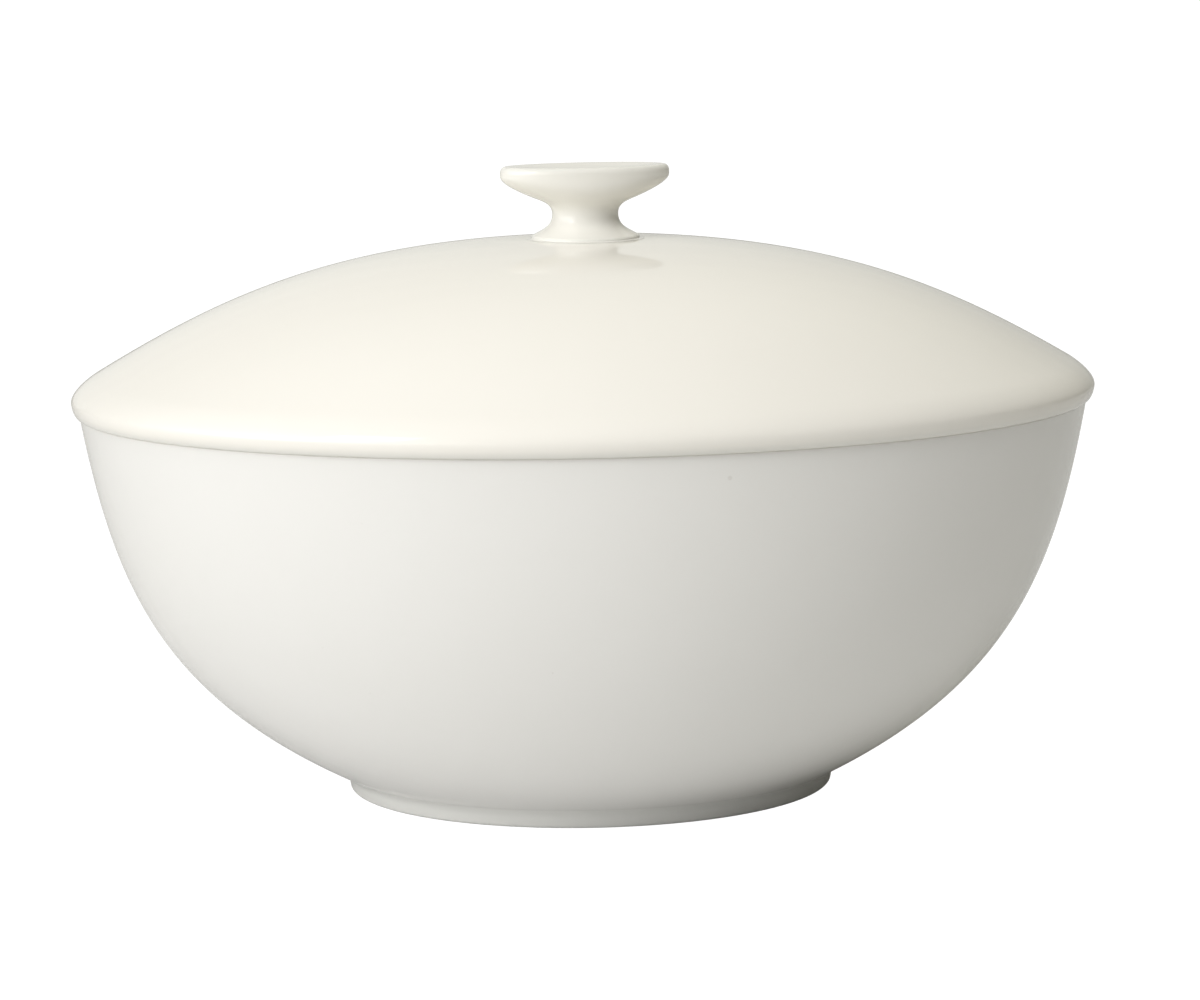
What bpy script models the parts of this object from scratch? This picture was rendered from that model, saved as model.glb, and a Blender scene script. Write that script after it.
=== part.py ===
"""Covered casserole dish: an oval footed bowl, a domed lid seated in its mouth, and the lid's knob.

The origin is at the centre of the foot's underside, with X along the oval, Y across it and Z up.
Every piece is a stack of ovals. Its outline is drawn as a row of stations in the XZ plane, each
with a half-length, a half-width and a height. The outline is spun round Z, and every ring is then
narrowed across Y to its own half-width. The glazed walls are about 5 mm thick.
"""

import math

import bmesh
import bpy
import numpy as np

# Bowl, in metres. Its plan is rounder at the foot than at the rim.
RIM_HALF_LENGTH = 0.1420
RIM_ROUNDNESS = 0.82
RIM_HALF_WIDTH = RIM_HALF_LENGTH * RIM_ROUNDNESS
RIM_HEIGHT = 0.1085
RIM_THICKNESS = 0.0055
RIM_SLOPE = math.radians(80.0)
MOUTH_HALF_LENGTH = RIM_HALF_LENGTH - RIM_THICKNESS
MOUTH_HALF_WIDTH = RIM_HALF_WIDTH - RIM_THICKNESS
WALL_THICKNESS = 0.0055
WALL_FOOT_PULL = 0.46
WALL_RIM_PULL = 0.38
FOOT_HALF_LENGTH = 0.0691
FOOT_ROUNDNESS = 0.92
FOOT_HEIGHT = 0.0046
FOOT_TAPER = 0.0008
FOOT_SLOPE = math.radians(25.7)
FOOT_RING_WIDTH = 0.0048
FOOT_RECESS = 0.0034
FLOOR_HEIGHT = 0.0084
FLOOR_FLATNESS = 0.8

# Lid, with heights above its seat, which is the underside of its rim.
LID_OVERHANG = 0.0022
LID_HALF_LENGTH = RIM_HALF_LENGTH + LID_OVERHANG
LID_HALF_WIDTH = RIM_HALF_WIDTH + LID_OVERHANG
LID_WIDEST_HEIGHT = 0.0034
LID_EDGE_INSET = 0.0016
SHOULDER_INSET = 0.0067
SHOULDER_HEIGHT = 0.0102
SHOULDER_SLOPE = math.radians(30.3)
SHOULDER = (LID_HALF_LENGTH - SHOULDER_INSET, SHOULDER_HEIGHT)
RIM_PULL = 0.58
LOWER_EDGE_PULL = 0.42
DOME_HEIGHT = 0.0458
DOME_CROWN_ROUNDNESS = 0.99
DOME_CROWN_PULL = 0.46
DOME_SHOULDER_PULL = 0.32
DOME_THICKNESS = 0.0050
HOLLOW_EDGE_HEIGHT = 0.0085
HOLLOW_EASING = 0.0018
FLANGE_CLEARANCE = 0.0010
FLANGE_THICKNESS = 0.0042
FLANGE_DEPTH = 0.0080
FLANGE_LEAN = 0.0019

# Knob, with heights above the underside of its base.
BASE_RADIUS = 0.0152
BASE_EDGE = 0.0005
BASE_SLOPE = math.radians(31.0)
BASE_PULL = 0.0036
WAIST_HALF_LENGTH = 0.0093
WAIST_ROUNDNESS = 0.85
WAIST_HEIGHT = 0.0064
WAIST_PULL = 0.0030
FLARE_HALF_LENGTH = 0.0155
FLARE_HEIGHT = 0.0114
FLARE_SLOPE = math.radians(23.0)
FLARE_PULL = 0.0036
UNDERSIDE_PULL = 0.0052
GRIP_HALF_LENGTH = 0.0240
GRIP_HALF_WIDTH = 0.0128
GRIP_SIDE_HEIGHT = 0.0172
GRIP_SIDE_PULL = 0.0018
GRIP_SIDE_LENGTH = 0.0009
CREST_INSET = 0.0015
CREST_HEIGHT = 0.0199
DISH_DEPTH = 0.0012
DISH_EDGE_PULL = 0.2
DISH_MIDDLE_PULL = 0.6

# Touching pieces stand this far apart, and sharp edges of the clay are eased by this radius.
GAP = 0.0003
EASING = 0.0009

# A rounded corner's handles reach this share of the way to the corner.
ROUND_PULL = 0.55

RING_SEGMENTS = 56
KNOB_SEGMENTS = 32
DOME_SAMPLES = 200
MERGE_DISTANCE = 1e-6
CREASE_ANGLE = math.radians(35.0)

BOWL_WHITE = (0.86, 0.85, 0.82, 1.0)
LID_CREAM = (0.92, 0.893, 0.83, 1.0)
KNOB_CREAM = (0.86, 0.845, 0.79, 1.0)
GLAZE_ROUGHNESS = 0.12

# Roundness, as (half-length, half-width over half-length), at the ends of each tapering stretch.
FOOT_PAIR = (FOOT_HALF_LENGTH, FOOT_ROUNDNESS)
RIM_PAIR = (RIM_HALF_LENGTH, RIM_ROUNDNESS)
MOUTH_PAIR = (MOUTH_HALF_LENGTH, MOUTH_HALF_WIDTH / MOUTH_HALF_LENGTH)
CROWN_PAIR = (0.0, DOME_CROWN_ROUNDNESS)
WIDEST_PAIR = (LID_HALF_LENGTH, LID_HALF_WIDTH / LID_HALF_LENGTH)
WAIST_PAIR = (WAIST_HALF_LENGTH, WAIST_ROUNDNESS)
GRIP_PAIR = (GRIP_HALF_LENGTH, GRIP_HALF_WIDTH / GRIP_HALF_LENGTH)


def along(point, angle, distance):
    """The point at a distance from another, in a direction given as an angle above +X."""
    return (point[0] + distance * math.cos(angle), point[1] + distance * math.sin(angle))


def bezier(start, start_handle, end_handle, end, steps):
    """Points along a cubic curve in the XZ plane, both ends included."""
    share = np.linspace(0.0, 1.0, steps + 1)[:, None]
    rest = 1.0 - share
    start_part = rest**3 * np.array(start) + 3 * rest**2 * share * np.array(start_handle)
    end_part = 3 * rest * share**2 * np.array(end_handle) + share**3 * np.array(end)
    return [tuple(point) for point in start_part + end_part]


def bend(start, corner, end, steps, pull=ROUND_PULL):
    """A round curve that leaves one point towards a corner and reaches another from that corner."""
    start, corner, end = np.array(start), np.array(corner), np.array(end)
    start_handle = start + pull * (corner - start)
    end_handle = end + pull * (corner - end)
    return bezier(start, start_handle, end_handle, end, steps)


def rounded_corner(corner, before, after, radius, steps=2):
    """A corner cut back by a radius on both sides and joined by a short curve."""
    start_angle = math.atan2(before[1] - corner[1], before[0] - corner[0])
    end_angle = math.atan2(after[1] - corner[1], after[0] - corner[0])
    return bend(along(corner, start_angle, radius), corner, along(corner, end_angle, radius), steps)


def roundness(half_length, inner, outer):
    """Half-width over half-length, running from one (half_length, roundness) pair to another."""
    return float(np.interp(half_length, (inner[0], outer[0]), (inner[1], outer[1])))


def oval_stations(points, inner, outer):
    """Stations whose roundness runs between two pairs."""
    return [(x, x * roundness(x, inner, outer), z) for x, z in points]


def inset_stations(points, half_length, half_width):
    """Stations that keep the same distance from one oval all the way round."""
    return [(x, half_width - (half_length - x), z) for x, z in points]


def material(name, color, roughness):
    """A glazed surface of one colour."""
    glaze = bpy.data.materials.new(name)
    glaze.use_nodes = True
    surface = glaze.node_tree.nodes["Principled BSDF"]
    surface.inputs["Base Color"].default_value = color
    surface.inputs["Roughness"].default_value = roughness
    surface.inputs["Metallic"].default_value = 0.0
    glaze.diffuse_color = color
    return glaze


def oval_solid(name, stations, segments, glaze):
    """One closed body, whose outline starts and ends on the Z axis."""
    shape = bmesh.new()
    narrowing = shape.verts.layers.float.new("narrowing")
    outline = []
    for half_length, half_width, height in stations:
        vert = shape.verts.new((half_length, 0.0, height))
        vert[narrowing] = half_width / half_length if half_length > 0.0 else 1.0
        outline.append(vert)
    edges = [shape.edges.new(pair) for pair in zip(outline, outline[1:])]
    bmesh.ops.spin(
        shape,
        geom=outline + edges,
        cent=(0.0, 0.0, 0.0),
        axis=(0.0, 0.0, 1.0),
        angle=2.0 * math.pi,
        steps=segments,
        use_merge=True,
    )
    bmesh.ops.remove_doubles(shape, verts=shape.verts, dist=MERGE_DISTANCE)
    for vert in shape.verts:
        vert.co.y *= vert[narrowing]
    bmesh.ops.recalc_face_normals(shape, faces=shape.faces)
    mesh = bpy.data.meshes.new(name)
    shape.to_mesh(mesh)
    shape.free()
    mesh.shade_smooth()
    mesh.set_sharp_from_angle(angle=CREASE_ANGLE)
    mesh.materials.append(glaze)
    solid = bpy.data.objects.new(name, mesh)
    bpy.context.collection.objects.link(solid)
    return solid


def bowl_wall(foot_point, rim_point, steps):
    """A face of the bowl's wall, leaving the foot at its own slope and nearly upright at the rim."""
    reach = math.dist(foot_point, rim_point)
    foot_handle = along(foot_point, FOOT_SLOPE, WALL_FOOT_PULL * reach)
    rim_handle = along(rim_point, RIM_SLOPE, -WALL_RIM_PULL * reach)
    return bezier(foot_point, foot_handle, rim_handle, rim_point, steps)


def foot_stations():
    """The recess under the bowl, the flat ring it stands on, and the ring's outer face."""
    foot_half_length = FOOT_HALF_LENGTH - FOOT_TAPER
    ring_inside = foot_half_length - FOOT_RING_WIDTH
    recess_corner = (ring_inside - FOOT_RECESS, FOOT_RECESS)
    outer_corner = (foot_half_length, 0.0)
    foot_top = (FOOT_HALF_LENGTH, FOOT_HEIGHT)
    points = [(0.0, FOOT_RECESS), (0.5 * ring_inside, FOOT_RECESS), recess_corner]
    points += rounded_corner((ring_inside, 0.0), recess_corner, outer_corner, EASING)
    points += rounded_corner(outer_corner, (ring_inside, 0.0), foot_top, EASING)
    return oval_stations(points, FOOT_PAIR, RIM_PAIR)


def bowl_stations():
    """The bowl's whole outline: under the foot, up the outside, over the rim and down the inside."""
    foot_top = (FOOT_HALF_LENGTH, FOOT_HEIGHT)
    rim = (RIM_HALF_LENGTH, RIM_HEIGHT)
    mouth = (MOUTH_HALF_LENGTH, RIM_HEIGHT)
    outside = bowl_wall(foot_top, rim, 12)
    floor_edge = along(foot_top, FOOT_SLOPE + math.pi / 2, WALL_THICKNESS)
    inside = bowl_wall(floor_edge, mouth, 9)
    inside.reverse()
    floor_drop = (floor_edge[1] - FLOOR_HEIGHT) / math.sin(FOOT_SLOPE)
    floor_handle = along(floor_edge, FOOT_SLOPE, -floor_drop)
    flat_edge = (FLOOR_FLATNESS * floor_edge[0], FLOOR_HEIGHT)
    floor = bezier(floor_edge, floor_handle, flat_edge, (0.0, FLOOR_HEIGHT), 4)
    outer_edge = rounded_corner(rim, outside[-2], mouth, EASING)
    inner_edge = rounded_corner(mouth, rim, inside[1], EASING)
    floor_half_width = FOOT_HALF_LENGTH * FOOT_ROUNDNESS - (FOOT_HALF_LENGTH - floor_edge[0])
    floor_pair = (floor_edge[0], floor_half_width / floor_edge[0])
    stations = foot_stations()
    stations += oval_stations(outside[:-1] + outer_edge, FOOT_PAIR, RIM_PAIR)
    stations += oval_stations(inner_edge + inside[1:] + floor[1:], floor_pair, MOUTH_PAIR)
    return stations


def dome_points(top_height, shoulder, steps):
    """A face of the dome, from its crown down to a point on its shoulder."""
    crown = (0.0, top_height)
    reach = math.dist(crown, shoulder)
    crown_handle = (DOME_CROWN_PULL * reach, top_height)
    shoulder_handle = along(shoulder, math.pi - SHOULDER_SLOPE, DOME_SHOULDER_PULL * reach)
    return bezier(crown, crown_handle, shoulder_handle, shoulder, steps)


def lid_outside():
    """The dome from its crown, the shoulder and the rim as far as its widest point."""
    corner = (LID_HALF_LENGTH, SHOULDER_HEIGHT - SHOULDER_INSET * math.tan(SHOULDER_SLOPE))
    rim = bend(SHOULDER, corner, (LID_HALF_LENGTH, LID_WIDEST_HEIGHT), 4, RIM_PULL)
    return dome_points(DOME_HEIGHT, SHOULDER, 11) + rim[1:]


def lid_flange():
    """The rim's rounded lower edge, the flat seat and the flange that keeps the lid centred."""
    widest = (LID_HALF_LENGTH, LID_WIDEST_HEIGHT)
    edge = (LID_HALF_LENGTH - LID_EDGE_INSET, 0.0)
    lower_edge = bend(widest, (LID_HALF_LENGTH, 0.0), edge, 2, LOWER_EDGE_PULL)
    flange_top = (MOUTH_HALF_LENGTH - FLANGE_CLEARANCE, 0.0)
    flange_foot = (flange_top[0] - FLANGE_LEAN, -FLANGE_DEPTH)
    flange_inside = (flange_foot[0] - FLANGE_THICKNESS, -FLANGE_DEPTH)
    points = lower_edge[1:] + [flange_top]
    points += rounded_corner(flange_foot, flange_top, flange_inside, EASING)
    points += rounded_corner(flange_inside, flange_foot, (flange_inside[0], 0.0), EASING)
    return points


def lid_stations():
    """The lid's whole outline: its outside from the crown, the flange and the hollow underside."""
    flange = lid_flange()
    flange_inside = flange[-1][0]
    hollow_edge = (flange_inside, HOLLOW_EDGE_HEIGHT)
    underside = dome_points(DOME_HEIGHT - DOME_THICKNESS, hollow_edge, 8)
    underside.reverse()
    inner_corner = rounded_corner(hollow_edge, (flange_inside, 0.0), underside[1], HOLLOW_EASING)
    inside_half_width = LID_HALF_WIDTH - (LID_HALF_LENGTH - flange_inside)
    inside_pair = (flange_inside, inside_half_width / flange_inside)
    stations = oval_stations(lid_outside(), CROWN_PAIR, WIDEST_PAIR)
    stations += inset_stations(flange, LID_HALF_LENGTH, LID_HALF_WIDTH)
    stations += oval_stations(inner_corner + underside[1:], CROWN_PAIR, inside_pair)
    return stations


def knob_stations():
    """The knob's outline: its hollowed base, the waist, the oval grip and the grip's shallow dish."""
    dome_x, dome_z = zip(*dome_points(DOME_HEIGHT, SHOULDER, DOME_SAMPLES))
    base = [(x, np.interp(x, dome_x, dome_z) - DOME_HEIGHT) for x in np.linspace(0.0, BASE_RADIUS, 4)]
    base_edge = (BASE_RADIUS, base[-1][1] + BASE_EDGE)
    waist = (WAIST_HALF_LENGTH, WAIST_HEIGHT)
    flare = (FLARE_HALF_LENGTH, FLARE_HEIGHT)
    side = (GRIP_HALF_LENGTH, GRIP_SIDE_HEIGHT)
    side_top = (GRIP_HALF_LENGTH, GRIP_SIDE_HEIGHT + GRIP_SIDE_LENGTH)
    crest = (GRIP_HALF_LENGTH - CREST_INSET, CREST_HEIGHT)
    dish = (0.0, CREST_HEIGHT - DISH_DEPTH)
    base_handle = along(base_edge, math.pi - BASE_SLOPE, BASE_PULL)
    lower = bezier(base_edge, base_handle, (WAIST_HALF_LENGTH, WAIST_HEIGHT - BASE_PULL), waist, 5)
    base_bend = rounded_corner(base_edge, base[-1], lower[1], BASE_EDGE)
    flare_handle = along(flare, FLARE_SLOPE, -FLARE_PULL)
    middle = bezier(waist, (WAIST_HALF_LENGTH, WAIST_HEIGHT + WAIST_PULL), flare_handle, flare, 4)
    side_handle = (GRIP_HALF_LENGTH, GRIP_SIDE_HEIGHT - GRIP_SIDE_PULL)
    upper = bezier(flare, along(flare, FLARE_SLOPE, UNDERSIDE_PULL), side_handle, side, 4)
    lip = bend(side_top, (GRIP_HALF_LENGTH, CREST_HEIGHT), crest, 3)
    dish_edge_handle = ((1.0 - DISH_EDGE_PULL) * crest[0], CREST_HEIGHT)
    dish_middle_handle = (DISH_MIDDLE_PULL * crest[0], dish[1])
    hollow = bezier(crest, dish_edge_handle, dish_middle_handle, dish, 4)
    base_pair = (BASE_RADIUS, roundness(BASE_RADIUS, CROWN_PAIR, WIDEST_PAIR))
    crest_roundness = (GRIP_HALF_WIDTH - CREST_INSET) / crest[0]
    stations = oval_stations(base, CROWN_PAIR, WIDEST_PAIR)
    stations += oval_stations(base_bend[1:] + lower[1:], WAIST_PAIR, base_pair)
    stations += oval_stations(middle[1:] + upper[1:], WAIST_PAIR, GRIP_PAIR)
    stations += inset_stations(lip, GRIP_HALF_LENGTH, GRIP_HALF_WIDTH)
    stations += [(x, x * crest_roundness, z) for x, z in hollow[1:]]
    return stations


def clear_scene():
    """Remove whatever the file already holds."""
    for item in list(bpy.data.objects):
        bpy.data.objects.remove(item)


def build_dish():
    """The bowl, with the lid seated on its rim and the knob in the middle of the lid."""
    bowl_glaze = material("bowl_glaze", BOWL_WHITE, GLAZE_ROUGHNESS)
    lid_glaze = material("lid_glaze", LID_CREAM, GLAZE_ROUGHNESS)
    knob_glaze = material("knob_glaze", KNOB_CREAM, GLAZE_ROUGHNESS)
    dish = bpy.data.objects.new("dish", None)
    bpy.context.collection.objects.link(dish)
    bowl = oval_solid("bowl", bowl_stations(), RING_SEGMENTS, bowl_glaze)
    bowl.parent = dish
    lid = oval_solid("lid", lid_stations(), RING_SEGMENTS, lid_glaze)
    lid.parent = dish
    lid.location.z = RIM_HEIGHT + GAP
    knob = oval_solid("knob", knob_stations(), KNOB_SEGMENTS, knob_glaze)
    knob.parent = lid
    knob.location.z = DOME_HEIGHT + GAP


clear_scene()
build_dish()
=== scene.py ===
"""Covered casserole dish in glazed porcelain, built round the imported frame.

The bowl, the lid and the knob are stacks of fine oval rings. Each outline is a row of stations in
the XZ plane, with a half-length, a half-width and a height, and each station becomes one ring.
Lengths are metres. Heights on the lid count from its seat, and those on the knob from its base.
"""

import math

import bpy
import numpy as np
from mathutils import Matrix, Vector


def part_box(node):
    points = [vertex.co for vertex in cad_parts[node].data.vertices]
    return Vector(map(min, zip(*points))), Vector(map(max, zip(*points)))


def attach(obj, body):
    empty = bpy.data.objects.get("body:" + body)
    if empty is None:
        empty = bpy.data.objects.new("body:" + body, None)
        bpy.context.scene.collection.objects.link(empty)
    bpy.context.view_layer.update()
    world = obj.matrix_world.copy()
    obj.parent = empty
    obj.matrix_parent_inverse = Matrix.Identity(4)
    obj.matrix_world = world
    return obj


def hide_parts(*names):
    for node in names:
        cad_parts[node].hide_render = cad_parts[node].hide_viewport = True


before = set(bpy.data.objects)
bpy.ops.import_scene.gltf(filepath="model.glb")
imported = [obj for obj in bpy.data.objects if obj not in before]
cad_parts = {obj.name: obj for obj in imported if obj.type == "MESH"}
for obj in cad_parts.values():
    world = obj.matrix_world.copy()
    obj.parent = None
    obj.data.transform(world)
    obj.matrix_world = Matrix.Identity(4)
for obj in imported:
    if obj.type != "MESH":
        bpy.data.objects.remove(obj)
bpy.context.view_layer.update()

# Sizes taken from the frame's solids.
lid_low, lid_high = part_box("lid")
knob_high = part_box("knob")[1]

LID_HALF_LENGTH = lid_high.x
LID_HALF_WIDTH = lid_high.y
LID_OVERHANG = 0.0022
RIM_HALF_LENGTH = LID_HALF_LENGTH - LID_OVERHANG
RIM_HALF_WIDTH = LID_HALF_WIDTH - LID_OVERHANG
RIM_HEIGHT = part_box("bowl")[1].z
SEAT_GAP = 0.0003
SEAT_HEIGHT = RIM_HEIGHT + SEAT_GAP
DOME_HEIGHT = lid_high.z - SEAT_HEIGHT
FLANGE_DEPTH = SEAT_HEIGHT - lid_low.z
GRIP_HALF_LENGTH = knob_high.x
KNOB_BASE = lid_high.z + SEAT_GAP
DISH_HEIGHT = knob_high.z
CREST_HEIGHT = DISH_HEIGHT - KNOB_BASE

# Bowl. Its plan is rounder at the foot than at the rim.
RIM_ROUNDNESS = RIM_HALF_WIDTH / RIM_HALF_LENGTH
RIM_THICKNESS = 0.0055
RIM_SLOPE = math.radians(80.0)
MOUTH_HALF_LENGTH = RIM_HALF_LENGTH - RIM_THICKNESS
MOUTH_HALF_WIDTH = RIM_HALF_WIDTH - RIM_THICKNESS
WALL_THICKNESS = 0.0055
WALL_FOOT_PULL = 0.46
WALL_RIM_PULL = 0.38
FOOT_HALF_LENGTH = 0.0691
FOOT_ROUNDNESS = 0.92
FOOT_HEIGHT = 0.0046
FOOT_TAPER = 0.0008
FOOT_SLOPE = math.radians(25.7)
FOOT_RING_WIDTH = 0.0048
FOOT_RECESS = 0.0034
FOOT_FILLET = 0.0018
FLOOR_HEIGHT = 0.0084
FLOOR_FLATNESS = 0.8

# Lid, with heights above its seat.
LID_WIDEST_HEIGHT = 0.0034
LID_EDGE_INSET = 0.0016
SHOULDER_INSET = 0.0067
SHOULDER_HEIGHT = 0.0102
SHOULDER_SLOPE = math.radians(30.3)
SHOULDER = (LID_HALF_LENGTH - SHOULDER_INSET, SHOULDER_HEIGHT)
RIM_PULL = 0.58
LOWER_EDGE_PULL = 0.42
DOME_CROWN_ROUNDNESS = 0.99
DOME_CROWN_PULL = 0.46
DOME_SHOULDER_PULL = 0.32
DOME_THICKNESS = 0.0050
HOLLOW_EDGE_HEIGHT = 0.0085
HOLLOW_EASING = 0.0018
FLANGE_CLEARANCE = 0.0010
FLANGE_THICKNESS = 0.0042
FLANGE_LEAN = 0.0019

# Knob, with heights above its base.
BASE_RADIUS = 0.0152
BASE_EDGE = 0.0005
BASE_EASING = 0.0005
BASE_SLOPE = math.radians(31.0)
BASE_PULL = 0.0036
WAIST_HALF_LENGTH = 0.0093
WAIST_ROUNDNESS = 0.85
WAIST_HEIGHT = 0.0064
WAIST_PULL = 0.0030
FLARE_HALF_LENGTH = 0.0155
FLARE_HEIGHT = 0.0114
FLARE_SLOPE = math.radians(23.0)
FLARE_PULL = 0.0036
UNDERSIDE_PULL = 0.0052
GRIP_HALF_WIDTH = 0.0128
GRIP_SIDE_HEIGHT = 0.0172
GRIP_SIDE_PULL = 0.0018
GRIP_SIDE_LENGTH = 0.0009
CREST_INSET = 0.0015
DISH_DEPTH = 0.0012
DISH_EDGE_PULL = 0.2
DISH_MIDDLE_PULL = 0.6

# The fired pieces sit closer than the frame's solids do: the lid all but rests on the rim, and a
# fillet of glaze joins the knob to the lid.
CONTACT_GAP = 0.00004
GLAZE_FILLET = 0.0012

# Sharp edges of the clay are eased by these radii.
EASING = 0.0009
RIM_EASING = 0.0006
RECESS_EASING = 0.00135
SEAT_EASING = 0.00045

# A rounded corner's handles reach this share of the way to the corner.
ROUND_PULL = 0.55

DOME_SAMPLES = 200
RING_SEGMENTS = 320
KNOB_SEGMENTS = 160

# Roundness, as (half-length, half-width over half-length), at the ends of each tapering stretch.
FOOT_PAIR = (FOOT_HALF_LENGTH, FOOT_ROUNDNESS)
RIM_PAIR = (RIM_HALF_LENGTH, RIM_ROUNDNESS)
MOUTH_PAIR = (MOUTH_HALF_LENGTH, MOUTH_HALF_WIDTH / MOUTH_HALF_LENGTH)
CROWN_PAIR = (0.0, DOME_CROWN_ROUNDNESS)
WIDEST_PAIR = (LID_HALF_LENGTH, LID_HALF_WIDTH / LID_HALF_LENGTH)
WAIST_PAIR = (WAIST_HALF_LENGTH, WAIST_ROUNDNESS)
GRIP_PAIR = (GRIP_HALF_LENGTH, GRIP_HALF_WIDTH / GRIP_HALF_LENGTH)

# Glaze. Its tone drifts between two colours, and its roughness between two shares of the glaze's own.
GLAZE_IOR = 1.5
BOWL_ROUGHNESS = 0.1
LID_ROUGHNESS = 0.06
GLOSS_SHARES = (0.75, 1.3)
GLOSS_SCALE = 30.0
GLOSS_DETAIL = 5.0
DRIFT_SCALE = 14.0
DRIFT_DETAIL = 4.0
DRIFT_START = 0.1

# The uneven surface under the gloss. Its relief is the rise between its low and high parts.
RELIEF = 0.00012
UNEVEN_SCALE = 38.0
UNEVEN_DETAIL = 1.0
PIT_SCALE = 1400.0
PIT_DETAIL = 2.0
PIT_SHARE = 0.006

# Marks of the turning tool: long along the wall, and close together in height.
TURNED_STRETCH = (16.0, 16.0, 1300.0)
TURNED_DETAIL = 3.0
TURNED_SHARE = 0.08
TURNED_TINT = 0.5
TURNED_HEIGHT = 0.032

# Painted shade: a darker grey laid into the colour along each piece's lower edge, where the foot, the seam
# and the knob's base are in shadow.
KNOB_SHADE_HEIGHT = KNOB_BASE - 0.002
PAINTED_SHADE_REACH = 0.0022
PAINTED_SHADE_SHARE = 0.42
PAINTED_SHADE_GREY = (0.72, 0.725, 0.685, 1.0)

# Glaze colours, each with the deeper one that it drifts towards.
BOWL_WHITE = (0.86, 0.85, 0.82, 1.0)
BOWL_DEEP_WHITE = (0.84, 0.83, 0.795, 1.0)
LID_CREAM = (0.92, 0.893, 0.83, 1.0)
LID_DEEP_CREAM = (0.90, 0.873, 0.805, 1.0)
# The knob's creams are the lid's glaze made darker: painted shade, so that the knob looks less brightly
# lit.
KNOB_SHADED_CREAM = (0.86, 0.845, 0.79, 1.0)
KNOB_SHADED_DEEP_CREAM = (0.84, 0.825, 0.765, 1.0)

# Iron specks, each dark up to a share of its radius.
SPECK_BROWN = (0.30, 0.24, 0.17, 1.0)
SPECK_STRENGTH = 0.14
SPECK_CELLS = 250.0
SPECK_SHARE = 0.012
SPECK_RADIUS = 0.0003
SPECK_CORE = 0.4
FRONT_SPECK = (0.0119, -0.1153, 0.102)
FRONT_SPECK_RADIUS = 0.0008
FRONT_SPECK_CORE = 0.5

# Bare clay.
CLAY_LIGHT = (0.80, 0.76, 0.69, 1.0)
CLAY_DARK = (0.62, 0.57, 0.50, 1.0)
CLAY_ROUGHNESS = 0.75
CLAY_RELIEF = 0.0001
CLAY_BUMP = 0.5
SAND_SCALE = 900.0
SAND_DETAIL = 4.0
SAND_ROUGHNESS = 0.7

# Studio walls, each glow given by its azimuth, elevation, strength and colour. Azimuths count from
# the front of the dish towards its left, in degrees.
WALL_GLOWS = (
    (67.0, 0.0, 4.25, (1.0, 1.0, 1.0)),
    (-45.0, 60.0, 0.55, (1.0, 0.98, 0.88)),
    (-135.0, 45.0, 0.92, (1.0, 0.98, 0.86)),
    (180.0, 5.0, 0.75, (1.0, 1.0, 0.95)),
)
GLOW_SPREAD = 6.0

# Soft lights: name, azimuth, elevation, distance, size, power and whether the glaze mirrors it.
SOFT_LIGHTS = (
    ("key", 30.0, 58.0, 1.6, 1.0, 10.2, False),
    ("window", 51.0, 35.0, 1.8, 0.5, 4.0, True),
)

# White paper floor. The camera sees its glow more than its shading.
FLOOR_REACH = 12.0
FLOOR_COLOUR = (0.8, 0.8, 0.8, 1.0)
FLOOR_GLOW = 0.88
FLOOR_WHITE = 1.18

# Camera, on the side of the dish that is towards -Y and a little towards -X.
CAMERA_DISTANCE = 1.1885
CAMERA_HEIGHT = 0.2569
CAMERA_AZIMUTH = math.radians(12.37)
CAMERA_PITCH = math.radians(8.45)
CAMERA_TURN = math.radians(0.16)
CAMERA_ROLL = math.radians(-0.58)
CAMERA_REACH = 50.0
SENSOR_WIDTH = 36.0
FOCAL_LENGTH = 127.8


def along(point, angle, distance):
    """The point at a distance from another, in a direction given as an angle above +X."""
    return (point[0] + distance * math.cos(angle), point[1] + distance * math.sin(angle))


def bezier(start, start_handle, end_handle, end, steps):
    """Points along a cubic curve in the XZ plane, both ends included."""
    share = np.linspace(0.0, 1.0, steps + 1)[:, None]
    rest = 1.0 - share
    start_part = rest**3 * np.array(start) + 3 * rest**2 * share * np.array(start_handle)
    end_part = 3 * rest * share**2 * np.array(end_handle) + share**3 * np.array(end)
    return [tuple(point) for point in start_part + end_part]


def bend(start, corner, end, steps, pull=ROUND_PULL):
    """A round curve that leaves one point towards a corner and reaches another from that corner."""
    start, corner, end = np.array(start), np.array(corner), np.array(end)
    start_handle = start + pull * (corner - start)
    end_handle = end + pull * (corner - end)
    return bezier(start, start_handle, end_handle, end, steps)


def rounded_corner(corner, before, after, radius, steps=8):
    """A corner cut back by a radius on both sides and joined by a short curve."""
    start_angle = math.atan2(before[1] - corner[1], before[0] - corner[0])
    end_angle = math.atan2(after[1] - corner[1], after[0] - corner[0])
    return bend(along(corner, start_angle, radius), corner, along(corner, end_angle, radius), steps)


def straight(start, end, steps):
    """Points along a line, both ends left out."""
    return [tuple(point) for point in np.linspace(start, end, steps + 1)[1:-1]]


def roundness(half_length, inner, outer):
    """Half-width over half-length, running from one (half_length, roundness) pair to another."""
    return float(np.interp(half_length, (inner[0], outer[0]), (inner[1], outer[1])))


def oval_stations(points, inner, outer):
    """Stations whose roundness runs between two pairs."""
    return [(x, x * roundness(x, inner, outer), z) for x, z in points]


def inset_stations(points, half_length, half_width):
    """Stations that keep the same distance from one oval all the way round."""
    return [(x, half_width - (half_length - x), z) for x, z in points]


def bowl_wall(foot_point, rim_point, steps):
    """A face of the bowl's wall, leaving the foot at its own slope and nearly upright at the rim."""
    reach = math.dist(foot_point, rim_point)
    foot_handle = along(foot_point, FOOT_SLOPE, WALL_FOOT_PULL * reach)
    rim_handle = along(rim_point, RIM_SLOPE, -WALL_RIM_PULL * reach)
    return bezier(foot_point, foot_handle, rim_handle, rim_point, steps)


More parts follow.
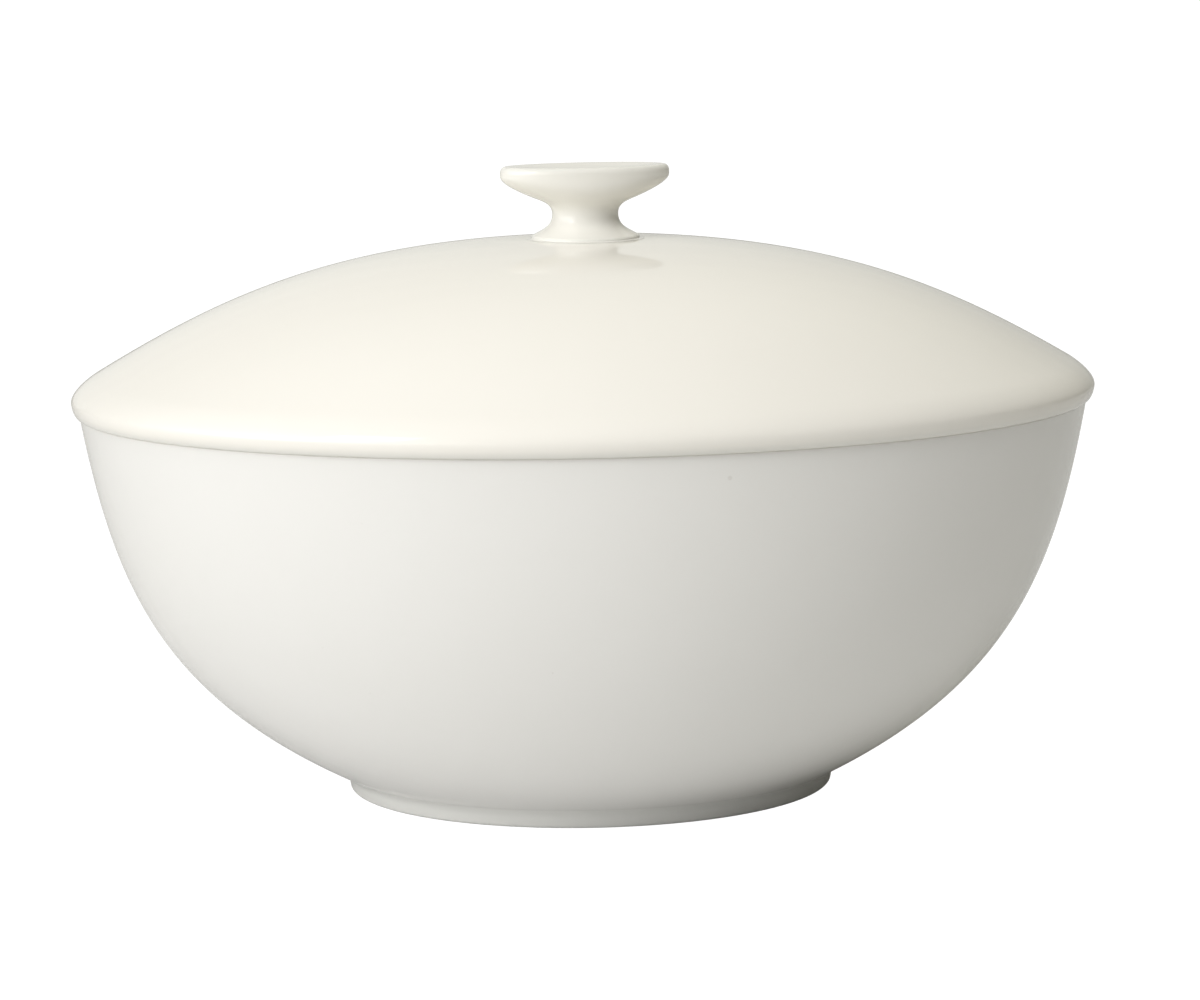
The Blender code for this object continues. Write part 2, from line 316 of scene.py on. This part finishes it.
def bowl_outline():
    """The foot's recess and ring, the outside, the rim and the inside, as (stations, finish) stretches."""
    foot_half_length = FOOT_HALF_LENGTH - FOOT_TAPER
    ring_inside = foot_half_length - FOOT_RING_WIDTH
    recess_corner = (ring_inside - FOOT_RECESS, FOOT_RECESS)
    inner_corner = (ring_inside, 0.0)
    outer_corner = (foot_half_length, 0.0)
    foot_top = (FOOT_HALF_LENGTH, FOOT_HEIGHT)
    rim = (RIM_HALF_LENGTH, RIM_HEIGHT)
    mouth = (MOUTH_HALF_LENGTH, RIM_HEIGHT)

    recess_middle = (0.0, FOOT_RECESS)
    recess_bend = rounded_corner(recess_corner, recess_middle, inner_corner, RECESS_EASING)
    recess = [recess_middle] + straight(recess_middle, recess_bend[0], 30) + recess_bend
    ring_inner_edge = rounded_corner(inner_corner, recess_corner, outer_corner, EASING)
    ring_outer_edge = rounded_corner(outer_corner, inner_corner, foot_top, EASING)
    bearing = ring_inner_edge + straight(ring_inner_edge[-1], ring_outer_edge[0], 4)

    outside = bowl_wall(foot_top, rim, 90)
    fillet = rounded_corner(foot_top, outer_corner, outside[1], FOOT_FILLET)
    past_fillet = [p for p in outside if math.dist(p, foot_top) > FOOT_FILLET]
    foot_side = ring_outer_edge + straight(ring_outer_edge[-1], fillet[0], 5)
    rim_edge = rounded_corner(rim, outside[-2], mouth, RIM_EASING)
    wall = [p for p in past_fillet if math.dist(p, rim) > RIM_EASING]

    floor_edge = along(foot_top, FOOT_SLOPE + math.pi / 2, WALL_THICKNESS)
    inside = bowl_wall(floor_edge, mouth, 70)
    inside.reverse()
    mouth_edge = rounded_corner(mouth, rim, inside[1], EASING)
    inner_wall = [p for p in inside if math.dist(p, mouth) > EASING]
    floor_drop = (floor_edge[1] - FLOOR_HEIGHT) / math.sin(FOOT_SLOPE)
    floor_handle = along(floor_edge, FOOT_SLOPE, -floor_drop)
    flat_edge = (FLOOR_FLATNESS * floor_edge[0], FLOOR_HEIGHT)
    floor = bezier(floor_edge, floor_handle, flat_edge, (0.0, FLOOR_HEIGHT), 30)
    floor_half_width = FOOT_HALF_LENGTH * FOOT_ROUNDNESS - (FOOT_HALF_LENGTH - floor_edge[0])
    floor_pair = (floor_edge[0], floor_half_width / floor_edge[0])

    return [
        (oval_stations(recess, FOOT_PAIR, RIM_PAIR), "glaze"),
        (oval_stations(bearing, FOOT_PAIR, RIM_PAIR), "bare"),
        (oval_stations(foot_side + fillet + wall + rim_edge, FOOT_PAIR, RIM_PAIR), "glaze"),
        (oval_stations(mouth_edge + inner_wall + floor[1:], floor_pair, MOUTH_PAIR), "glaze"),
    ]


def dome_points(top_height, shoulder, steps):
    """A face of the dome, from its crown down to a point on its shoulder."""
    crown = (0.0, top_height)
    reach = math.dist(crown, shoulder)
    crown_handle = (DOME_CROWN_PULL * reach, top_height)
    shoulder_handle = along(shoulder, math.pi - SHOULDER_SLOPE, DOME_SHOULDER_PULL * reach)
    return bezier(crown, crown_handle, shoulder_handle, shoulder, steps)


def lid_outline():
    """The lid from the middle of its hollow underside, over the flange and rim, up to the crown."""
    widest = (LID_HALF_LENGTH, LID_WIDEST_HEIGHT)
    corner = (LID_HALF_LENGTH, SHOULDER_HEIGHT - SHOULDER_INSET * math.tan(SHOULDER_SLOPE))
    rim = bend(SHOULDER, corner, widest, 20, RIM_PULL)
    outside = dome_points(DOME_HEIGHT, SHOULDER, 90) + rim[1:]

    seat_height = CONTACT_GAP - SEAT_GAP
    edge = (LID_HALF_LENGTH - LID_EDGE_INSET, seat_height)
    lower_edge = bend(widest, (LID_HALF_LENGTH, seat_height), edge, 12, LOWER_EDGE_PULL)
    flange_top = (MOUTH_HALF_LENGTH - FLANGE_CLEARANCE, seat_height)
    flange_foot = (flange_top[0] - FLANGE_LEAN, -FLANGE_DEPTH)
    flange_inside = (flange_foot[0] - FLANGE_THICKNESS, -FLANGE_DEPTH)
    seat_bend = rounded_corner(flange_top, edge, flange_foot, SEAT_EASING, 4)
    outer_bend = rounded_corner(flange_foot, flange_top, flange_inside, EASING)
    inner_bend = rounded_corner(flange_inside, flange_foot, (flange_inside[0], 0.0), EASING)
    seat = straight(edge, seat_bend[0], 8) + seat_bend
    flange = straight(seat[-1], outer_bend[0], 8) + outer_bend
    flange += straight(outer_bend[-1], inner_bend[0], 3) + inner_bend

    hollow_edge = (flange_inside[0], HOLLOW_EDGE_HEIGHT)
    hollow = dome_points(DOME_HEIGHT - DOME_THICKNESS, hollow_edge, 70)
    hollow.reverse()
    hollow_bend = rounded_corner(hollow_edge, flange_inside, hollow[1], HOLLOW_EASING)
    flange += straight(flange[-1], hollow_bend[0], 12)
    underside = [p for p in hollow if math.dist(p, hollow_edge) > HOLLOW_EASING]
    inside_half_width = LID_HALF_WIDTH - (LID_HALF_LENGTH - flange_inside[0])
    inside_pair = (flange_inside[0], inside_half_width / flange_inside[0])

    stretches = [
        (oval_stations(outside, CROWN_PAIR, WIDEST_PAIR), "glaze"),
        (inset_stations(lower_edge[1:], LID_HALF_LENGTH, LID_HALF_WIDTH), "glaze"),
        (inset_stations(seat, LID_HALF_LENGTH, LID_HALF_WIDTH), "bare"),
        (inset_stations(flange, LID_HALF_LENGTH, LID_HALF_WIDTH), "glaze"),
        (oval_stations(hollow_bend + underside, CROWN_PAIR, inside_pair), "glaze"),
    ]
    return [(stations[::-1], finish) for stations, finish in reversed(stretches)]


def knob_outline():
    """The knob from the middle of its base, up the waist, round the grip and into its shallow dish."""
    dome_x, dome_z = zip(*dome_points(DOME_HEIGHT, SHOULDER, DOME_SAMPLES))
    base_lift = CONTACT_GAP - DOME_HEIGHT - SEAT_GAP
    radii = np.linspace(0.0, BASE_RADIUS + GLAZE_FILLET, 12)
    base = [(x, np.interp(x, dome_x, dome_z) + base_lift) for x in radii]
    base_corner = (BASE_RADIUS, np.interp(BASE_RADIUS, dome_x, dome_z) + base_lift)
    base_edge = (BASE_RADIUS, base_corner[1] + SEAT_GAP + BASE_EDGE)
    waist = (WAIST_HALF_LENGTH, WAIST_HEIGHT)
    flare = (FLARE_HALF_LENGTH, FLARE_HEIGHT)
    side = (GRIP_HALF_LENGTH, GRIP_SIDE_HEIGHT)
    side_top = (GRIP_HALF_LENGTH, GRIP_SIDE_HEIGHT + GRIP_SIDE_LENGTH)
    crest = (GRIP_HALF_LENGTH - CREST_INSET, CREST_HEIGHT)
    dish = (0.0, CREST_HEIGHT - DISH_DEPTH)

    base_handle = along(base_edge, math.pi - BASE_SLOPE, BASE_PULL)
    lower = bezier(base_edge, base_handle, (WAIST_HALF_LENGTH, WAIST_HEIGHT - BASE_PULL), waist, 30)
    edge_foot = (BASE_RADIUS, base_edge[1] - BASE_EASING)
    base_bend = rounded_corner(base_edge, edge_foot, lower[1], BASE_EASING)
    skirt = bend(base[-1], base_corner, base_bend[0], 10)
    lower = [p for p in lower if math.dist(p, base_edge) > BASE_EASING]
    flare_handle = along(flare, FLARE_SLOPE, -FLARE_PULL)
    middle = bezier(waist, (WAIST_HALF_LENGTH, WAIST_HEIGHT + WAIST_PULL), flare_handle, flare, 24)
    side_handle = (GRIP_HALF_LENGTH, GRIP_SIDE_HEIGHT - GRIP_SIDE_PULL)
    upper = bezier(flare, along(flare, FLARE_SLOPE, UNDERSIDE_PULL), side_handle, side, 24)
    upper += straight(side, side_top, 5)
    lip = bend(side_top, (GRIP_HALF_LENGTH, CREST_HEIGHT), crest, 16)
    dish_edge_handle = ((1.0 - DISH_EDGE_PULL) * crest[0], CREST_HEIGHT)
    dish_middle_handle = (DISH_MIDDLE_PULL * crest[0], dish[1])
    hollow = bezier(crest, dish_edge_handle, dish_middle_handle, dish, 40)

    base_pair = (BASE_RADIUS, roundness(BASE_RADIUS, CROWN_PAIR, WIDEST_PAIR))
    crest_roundness = (GRIP_HALF_WIDTH - CREST_INSET) / crest[0]
    return [
        (oval_stations(base + skirt[1:], CROWN_PAIR, WIDEST_PAIR), "glaze"),
        (oval_stations(base_bend[1:] + lower, WAIST_PAIR, base_pair), "glaze"),
        (oval_stations(middle[1:] + upper[1:], WAIST_PAIR, GRIP_PAIR), "glaze"),
        (inset_stations(lip, GRIP_HALF_LENGTH, GRIP_HALF_WIDTH), "glaze"),
        ([(x, x * crest_roundness, z) for x, z in hollow[1:]], "glaze"),
    ]


def oval_piece(name, outline, base_height, segments, finishes):
    """A smooth closed piece, whose outline starts and ends on the Z axis and runs up its outside."""
    stations = [station for stretch, _ in outline for station in stretch]
    finish_of = [finish for stretch, finish in outline for _ in stretch]
    angles = np.linspace(0.0, 2.0 * math.pi, segments, endpoint=False)
    start, rings, end = stations[0], stations[1:-1], stations[-1]
    points = [(0.0, 0.0, start[2] + base_height)]
    for half_length, half_width, height in rings:
        x = half_length * np.cos(angles)
        y = half_width * np.sin(angles)
        points += [(px, py, height + base_height) for px, py in zip(x, y)]
    points.append((0.0, 0.0, end[2] + base_height))
    last = len(points) - 1
    turn = [(j, (j + 1) % segments) for j in range(segments)]
    faces = [(0, 1 + after, 1 + j) for j, after in turn]
    finish_index = [0] * segments
    slots = list(finishes)
    for ring in range(len(rings) - 1):
        low = 1 + ring * segments
        high = low + segments
        faces += [(low + j, low + after, high + after, high + j) for j, after in turn]
        finish_index += [slots.index(finish_of[ring + 1])] * segments
    top = 1 + (len(rings) - 1) * segments
    faces += [(top + j, top + after, last) for j, after in turn]
    finish_index += [0] * segments
    mesh = bpy.data.meshes.new(name)
    mesh.from_pydata(points, [], faces)
    for finish in slots:
        mesh.materials.append(finishes[finish])
    mesh.polygons.foreach_set("material_index", finish_index)
    mesh.shade_smooth()
    mesh.update()
    piece = bpy.data.objects.new(name, mesh)
    bpy.context.scene.collection.objects.link(piece)
    return piece


def node(tree, kind, settings=None, **inputs):
    """A shader node with its settings and its unlinked inputs, underscores standing for spaces."""
    made = tree.nodes.new(kind)
    for key, value in (settings or {}).items():
        setattr(made, key, value)
    for key, value in inputs.items():
        made.inputs[key.replace("_", " ")].default_value = value
    return made


def faded(tree, value, start, end):
    """A value turned into a share that is 1 at the start and 0 at the end, with soft ends."""
    fade = node(tree, "ShaderNodeMapRange", {"interpolation_type": "SMOOTHSTEP"}, To_Min=1.0, To_Max=0.0)
    fade.inputs["From Min"].default_value = start
    fade.inputs["From Max"].default_value = end
    tree.links.new(value, fade.inputs["Value"])
    return fade.outputs["Result"]


def combined(tree, operation, first, second):
    """Two values joined by arithmetic; the second may be a plain number."""
    made = node(tree, "ShaderNodeMath", {"operation": operation})
    tree.links.new(first, made.inputs[0])
    if isinstance(second, float):
        made.inputs[1].default_value = second
    else:
        tree.links.new(second, made.inputs[1])
    return made.outputs["Value"]


def tinted(tree, share, under, over):
    """A colour laid over another, which may itself be the output of a node, by a share."""
    mix = node(tree, "ShaderNodeMix", {"data_type": "RGBA"})
    if isinstance(under, tuple):
        mix.inputs["A"].default_value = under
    else:
        tree.links.new(under, mix.inputs["A"])
    mix.inputs["B"].default_value = over
    tree.links.new(share, mix.inputs["Factor"])
    return mix.outputs["Result"]


def stretched_noise(tree, place, scale, detail, stretch=(1.0, 1.0, 1.0)):
    """Soft noise, drawn out along the axes whose stretch is small."""
    sized = node(tree, "ShaderNodeVectorMath", {"operation": "MULTIPLY"})
    sized.inputs[1].default_value = stretch
    tree.links.new(place, sized.inputs[0])
    noise_node = node(tree, "ShaderNodeTexNoise", Scale=scale, Detail=detail)
    tree.links.new(sized.outputs["Vector"], noise_node.inputs["Vector"])
    return noise_node.outputs["Fac"]


def iron_specks(tree, place):
    """Pinhead specks of iron in the clay: one under the rim in front, and a few more anywhere."""
    cells = node(tree, "ShaderNodeTexVoronoi", Scale=SPECK_CELLS)
    tree.links.new(place, cells.inputs["Vector"])
    chance = node(tree, "ShaderNodeSeparateColor")
    tree.links.new(cells.outputs["Color"], chance.inputs["Color"])
    picked = combined(tree, "GREATER_THAN", chance.outputs["Red"], 1.0 - SPECK_SHARE)
    size = SPECK_RADIUS * SPECK_CELLS
    dot = faded(tree, cells.outputs["Distance"], SPECK_CORE * size, size)
    dots = combined(tree, "MULTIPLY", dot, picked)
    away = node(tree, "ShaderNodeVectorMath", {"operation": "DISTANCE"})
    away.inputs[1].default_value = FRONT_SPECK
    tree.links.new(place, away.inputs[0])
    front_core = FRONT_SPECK_CORE * FRONT_SPECK_RADIUS
    front_dot = faded(tree, away.outputs["Value"], front_core, FRONT_SPECK_RADIUS)
    return combined(tree, "MAXIMUM", dots, front_dot)


def glaze(name, colour, deep_colour, surface_roughness, shade_height, turned_height=0.0):
    """Clear-glazed porcelain, as it leaves the kiln.

    Its tone drifts a little, as the glaze is thicker in places, and it holds a few iron specks. The
    surface is slightly uneven, with fine pits. A darker grey is painted in as shade below the shade
    height and a little above it. Up to the turned height the clay keeps the marks of the turning tool.
    """
    material = bpy.data.materials.new(name)
    material.use_nodes = True
    tree = material.node_tree
    surface = tree.nodes["Principled BSDF"]
    surface.inputs["IOR"].default_value = GLAZE_IOR
    place = node(tree, "ShaderNodeTexCoord").outputs["Object"]

    drift = stretched_noise(tree, place, DRIFT_SCALE, DRIFT_DETAIL)
    tone = tinted(tree, combined(tree, "SUBTRACT", drift, DRIFT_START), colour, deep_colour)
    uneven = stretched_noise(tree, place, UNEVEN_SCALE, UNEVEN_DETAIL)
    pits = stretched_noise(tree, place, PIT_SCALE, PIT_DETAIL)
    relief = combined(tree, "ADD", uneven, combined(tree, "MULTIPLY", pits, PIT_SHARE))
    height = node(tree, "ShaderNodeSeparateXYZ")
    tree.links.new(place, height.inputs["Vector"])
    if turned_height > 0.0:
        rings = stretched_noise(tree, place, 1.0, TURNED_DETAIL, TURNED_STRETCH)
        turned = combined(tree, "MULTIPLY", rings, faded(tree, height.outputs["Z"], 0.0, turned_height))
        relief = combined(tree, "ADD", relief, combined(tree, "MULTIPLY", turned, TURNED_SHARE))
        tone = tinted(tree, combined(tree, "MULTIPLY", turned, TURNED_TINT), tone, deep_colour)
    # Painted shade: the colour turns darker grey towards the piece's lower edge.
    painted_shade = faded(tree, height.outputs["Z"], shade_height, shade_height + PAINTED_SHADE_REACH)
    tone = tinted(tree, combined(tree, "MULTIPLY", painted_shade, PAINTED_SHADE_SHARE), tone, PAINTED_SHADE_GREY)
    specks = combined(tree, "MULTIPLY", iron_specks(tree, place), SPECK_STRENGTH)
    tree.links.new(tinted(tree, specks, tone, SPECK_BROWN), surface.inputs["Base Color"])

    smoothest, roughest = (share * surface_roughness for share in GLOSS_SHARES)
    gloss = node(tree, "ShaderNodeMapRange", To_Min=smoothest, To_Max=roughest)
    tree.links.new(stretched_noise(tree, place, GLOSS_SCALE, GLOSS_DETAIL), gloss.inputs["Value"])
    tree.links.new(gloss.outputs["Result"], surface.inputs["Roughness"])
    bump = node(tree, "ShaderNodeBump", Strength=1.0, Distance=RELIEF)
    tree.links.new(relief, bump.inputs["Height"])
    tree.links.new(bump.outputs["Normal"], surface.inputs["Normal"])
    return material


def bare_clay():
    """Fired clay wiped free of glaze, as on a foot ring: dry, slightly sandy and off-white."""
    material = bpy.data.materials.new("bare_clay")
    material.use_nodes = True
    tree = material.node_tree
    surface = tree.nodes["Principled BSDF"]
    surface.inputs["Roughness"].default_value = CLAY_ROUGHNESS
    place = node(tree, "ShaderNodeTexCoord").outputs["Object"]
    noise = node(tree, "ShaderNodeTexNoise", Scale=SAND_SCALE, Detail=SAND_DETAIL, Roughness=SAND_ROUGHNESS)
    tree.links.new(place, noise.inputs["Vector"])
    sand = noise.outputs["Fac"]
    tree.links.new(tinted(tree, sand, CLAY_LIGHT, CLAY_DARK), surface.inputs["Base Color"])
    bump = node(tree, "ShaderNodeBump", Strength=CLAY_BUMP, Distance=CLAY_RELIEF)
    tree.links.new(sand, bump.inputs["Height"])
    tree.links.new(bump.outputs["Normal"], surface.inputs["Normal"])
    return material


def add_camera():
    """The scene's camera, which looks a little down on the dish."""
    heading = CAMERA_AZIMUTH + CAMERA_TURN
    camera = bpy.data.objects.new("camera", bpy.data.cameras.new("camera"))
    camera.data.sensor_width = SENSOR_WIDTH
    camera.data.lens = FOCAL_LENGTH
    camera.data.clip_end = CAMERA_REACH
    camera.location = (
        -CAMERA_DISTANCE * math.sin(CAMERA_AZIMUTH),
        -CAMERA_DISTANCE * math.cos(CAMERA_AZIMUTH),
        CAMERA_HEIGHT,
    )
    turn = Matrix.Rotation(-heading, 3, "Z") @ Matrix.Rotation(math.pi / 2 - CAMERA_PITCH, 3, "X")
    camera.rotation_euler = (turn @ Matrix.Rotation(CAMERA_ROLL, 3, "Z")).to_euler()
    bpy.context.scene.collection.objects.link(camera)
    bpy.context.scene.camera = camera


def direction_of(azimuth, elevation):
    """Unit vector towards a light, from the middle of the dish."""
    azimuth = math.radians(azimuth)
    elevation = math.radians(elevation)
    level = math.cos(elevation)
    return Vector((-level * math.sin(azimuth), -level * math.cos(azimuth), math.sin(elevation)))


def add_light(name, azimuth, elevation, distance, size, power, mirrored):
    """A soft square white light aimed at the middle of the dish, which its glaze may mirror or not."""
    data = bpy.data.lights.new(name, "AREA")
    data.size = size
    data.energy = power
    light = bpy.data.objects.new(name, data)
    direction = direction_of(azimuth, elevation)
    light.location = Vector((0.0, 0.0, 0.5 * DISH_HEIGHT)) + distance * direction
    light.rotation_euler = direction.to_track_quat("Z", "Y").to_euler()
    light.visible_camera = False
    light.visible_glossy = mirrored
    bpy.context.scene.collection.objects.link(light)


def add_floor():
    """A wide pale floor, which lights the dish from below like white paper."""
    mesh = bpy.data.meshes.new("floor")
    reach = FLOOR_REACH
    corners = [(-reach, -reach, 0.0), (reach, -reach, 0.0), (reach, reach, 0.0), (-reach, reach, 0.0)]
    mesh.from_pydata(corners, [], [(0, 1, 2, 3)])
    floor = bpy.data.objects.new("floor", mesh)
    bpy.context.scene.collection.objects.link(floor)
    paper = bpy.data.materials.new("floor_paper")
    paper.use_nodes = True
    tree = paper.node_tree
    tree.nodes.clear()
    matt = node(tree, "ShaderNodeBsdfDiffuse", Color=FLOOR_COLOUR)
    glow = node(tree, "ShaderNodeEmission", Color=(1.0, 1.0, 1.0, 1.0), Strength=FLOOR_WHITE)
    seen = node(tree, "ShaderNodeLightPath")
    mix = node(tree, "ShaderNodeMixShader")
    output = node(tree, "ShaderNodeOutputMaterial")
    share = combined(tree, "MULTIPLY", seen.outputs["Is Camera Ray"], FLOOR_GLOW)
    tree.links.new(share, mix.inputs["Fac"])
    tree.links.new(matt.outputs["BSDF"], mix.inputs[1])
    tree.links.new(glow.outputs["Emission"], mix.inputs[2])
    tree.links.new(mix.outputs["Shader"], output.inputs["Surface"])
    mesh.materials.append(paper)


def add_world():
    """The walls of a white studio, brighter in a few directions."""
    world = bpy.data.worlds.new("studio")
    world.use_nodes = True
    tree = world.node_tree
    view = node(tree, "ShaderNodeTexCoord").outputs["Generated"]
    total = None
    for azimuth, elevation, strength, colour in WALL_GLOWS:
        facing = node(tree, "ShaderNodeVectorMath", {"operation": "DOT_PRODUCT"})
        facing.inputs[1].default_value = direction_of(azimuth, elevation)
        tree.links.new(view, facing.inputs[0])
        front = combined(tree, "MAXIMUM", facing.outputs["Value"], 0.0)
        light = node(tree, "ShaderNodeVectorMath", {"operation": "SCALE"})
        light.inputs[0].default_value = strength * Vector(colour)
        tree.links.new(combined(tree, "POWER", front, GLOW_SPREAD), light.inputs["Scale"])
        if total is None:
            total = light
        else:
            added = node(tree, "ShaderNodeVectorMath", {"operation": "ADD"})
            tree.links.new(total.outputs["Vector"], added.inputs[0])
            tree.links.new(light.outputs["Vector"], added.inputs[1])
            total = added
    tree.links.new(total.outputs["Vector"], tree.nodes["Background"].inputs["Color"])
    bpy.context.scene.world = world


add_camera()
add_world()
add_floor()
for soft_light in SOFT_LIGHTS:
    add_light(*soft_light)

clay = bare_clay()
bowl_glaze = glaze("bowl_glaze", BOWL_WHITE, BOWL_DEEP_WHITE, BOWL_ROUGHNESS, FOOT_HEIGHT, TURNED_HEIGHT)
lid_glaze = glaze("lid_glaze", LID_CREAM, LID_DEEP_CREAM, LID_ROUGHNESS, SEAT_HEIGHT)
# The knob gets a darker copy of the lid's glaze: painted shade.
knob_glaze = glaze("knob_glaze", KNOB_SHADED_CREAM, KNOB_SHADED_DEEP_CREAM, LID_ROUGHNESS, KNOB_SHADE_HEIGHT)
bowl_finishes = {"glaze": bowl_glaze, "bare": clay}
lid_finishes = {"glaze": lid_glaze, "bare": clay}
knob_finishes = {"glaze": knob_glaze}

bowl = oval_piece("glazed_bowl", bowl_outline(), 0.0, RING_SEGMENTS, bowl_finishes)
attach(bowl, "dish")
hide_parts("bowl")

lid = oval_piece("glazed_lid", lid_outline(), SEAT_HEIGHT, RING_SEGMENTS, lid_finishes)
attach(lid, "cover")
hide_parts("lid")

knob = oval_piece("glazed_knob", knob_outline(), KNOB_BASE, KNOB_SEGMENTS, knob_finishes)
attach(knob, "cover")
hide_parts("knob")

bpy.context.scene.view_settings.view_transform = "Standard"
